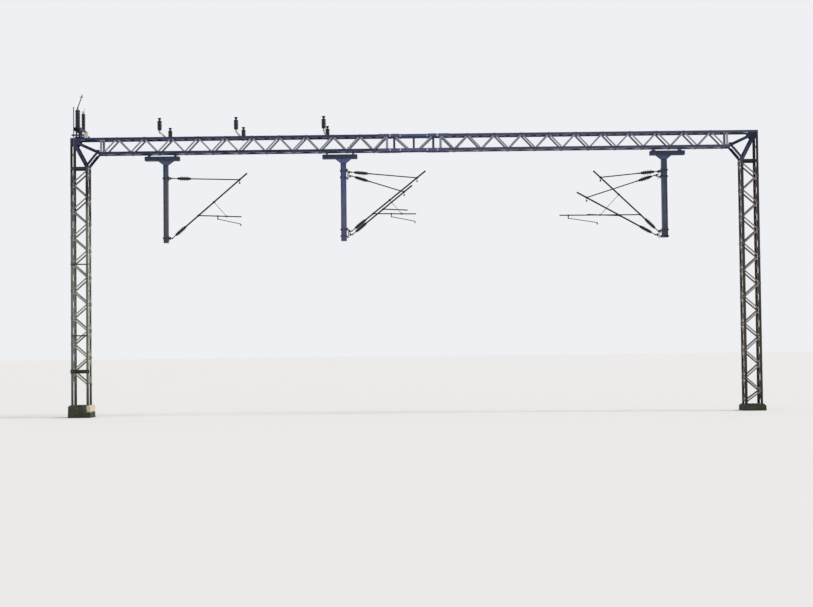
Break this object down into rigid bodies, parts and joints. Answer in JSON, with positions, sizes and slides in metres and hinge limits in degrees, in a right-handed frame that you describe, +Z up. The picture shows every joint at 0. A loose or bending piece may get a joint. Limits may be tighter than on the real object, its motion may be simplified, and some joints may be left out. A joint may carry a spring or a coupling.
{
  "type": "railway overhead line portal",
  "caption": "Lattice portal across railway tracks with hanging arms, swivelling tubular cantilevers, post insulators and an isolating switch.",
  "frame": {"origin": "centre of the left plinth's bottom face", "axes": "+X across the tracks to the right upright, +Y along the tracks away from the viewer, +Z up"},
  "size_m": [22.16, 2.2396, 10.4345],
  "materials": {
    "concrete": "weathered cast concrete with moss",
    "upright_steel": "weathered galvanised steel",
    "boom_steel": "weathered galvanised steel, dull",
    "arm_steel": "weathered galvanised steel, dull",
    "tube_steel": "dark weathered steel tube",
    "fitting_steel": "galvanised malleable iron, weathered",
    "porcelain": "brown glaze",
    "contact_metal": "weathered copper alloy"
  },
  "bodies": {
    "portal": {"left_plinth": "concrete", "right_plinth": "concrete", "left_upright_legs": "upright_steel", "right_upright_legs": "upright_steel", "left_upright_lacing": "upright_steel", "right_upright_lacing": "upright_steel", "knee_frames": "boom_steel", "boom_left_chords": "boom_steel", "boom_centre_chords": "boom_steel", "boom_right_chords": "boom_steel", "boom_left_face_lacing": "boom_steel", "boom_right_face_lacing": "boom_steel", "boom_left_flat_lacing": "boom_steel", "boom_right_flat_lacing": "boom_steel", "boom_centre_bracing": "boom_steel", "boom_splice_covers": "boom_steel", "left_drop_arm": "arm_steel", "middle_drop_arm": "arm_steel", "right_drop_arm": "arm_steel", "arm_cross_channels": "arm_steel", "hanger_channels": "arm_steel", "left_arm_brackets": "fitting_steel", "middle_arm_brackets": "fitting_steel", "right_arm_brackets": "fitting_steel", "line_post_arms": "arm_steel", "line_posts": "porcelain", "isolator_stool": "boom_steel", "isolator_insulators": "porcelain", "isolator_contacts": "contact_metal", "isolator_rod": "upright_steel", "isolator_rod_guides": "upright_steel"},
    "cantilever_1": {"cantilever_1_tubes": "tube_steel", "cantilever_1_insulators": "porcelain"},
    "cantilever_2": {"cantilever_2_tubes": "tube_steel", "cantilever_2_insulators": "porcelain"},
    "cantilever_3": {"cantilever_3_tubes": "tube_steel", "cantilever_3_insulators": "porcelain"},
    "cantilever_4": {"cantilever_4_tubes": "tube_steel", "cantilever_4_insulators": "porcelain"},
    "cantilever_5": {"cantilever_5_tubes": "tube_steel", "cantilever_5_insulators": "porcelain"},
    "cantilever_1_steady_arm": {"cantilever_1_steady_arm": "tube_steel"},
    "cantilever_2_steady_arm": {"cantilever_2_steady_arm": "tube_steel"},
    "cantilever_4_steady_arm": {"cantilever_4_steady_arm": "tube_steel"},
    "isolator_blade": {"isolator_blade": "contact_metal"}
  },
  "joints": [
    {"name": "cantilever_1_swivel", "type": "hinge", "parent": "portal", "child": "cantilever_1", "pos_m": [2.874, 0, 5.71], "axis": [0, 0, 1], "range_deg": [-10, 10]},
    {"name": "cantilever_2_swivel", "type": "hinge", "parent": "portal", "child": "cantilever_2", "pos_m": [8.647, -0.29, 5.85], "axis": [0, 0, 1], "range_deg": [-5, 5]},
    {"name": "cantilever_3_swivel", "type": "hinge", "parent": "portal", "child": "cantilever_3", "pos_m": [8.647, 0.29, 5.79], "axis": [0, 0, 1], "range_deg": [-5, 5]},
    {"name": "cantilever_4_swivel", "type": "hinge", "parent": "portal", "child": "cantilever_4", "pos_m": [18.543, -0.29, 5.735], "axis": [0, 0, 1], "range_deg": [-5, 5]},
    {"name": "cantilever_5_swivel", "type": "hinge", "parent": "portal", "child": "cantilever_5", "pos_m": [18.543, 0.29, 5.67], "axis": [0, 0, 1], "range_deg": [-5, 5]},
    {"name": "cantilever_1_steady_lift", "type": "hinge", "parent": "cantilever_1", "child": "cantilever_1_steady_arm", "pos_m": [4.4, 0, 6.31459], "axis": [0, -1, 0], "range_deg": [0, 12]},
    {"name": "cantilever_2_steady_lift", "type": "hinge", "parent": "cantilever_2", "child": "cantilever_2_steady_arm", "pos_m": [9.98, -0.29, 6.29869], "axis": [0, -1, 0], "range_deg": [0, 12]},
    {"name": "cantilever_4_steady_lift", "type": "hinge", "parent": "cantilever_4", "child": "cantilever_4_steady_arm", "pos_m": [15.62, -0.29, 6.18417], "axis": [0, -1, 0], "range_deg": [0, 12]},
    {"name": "isolator_blade_hinge", "type": "hinge", "parent": "portal", "child": "isolator_blade", "pos_m": [0, -0.42, 9.88], "axis": [1, 0, 0], "range_deg": [-38, 47]}
  ]
}
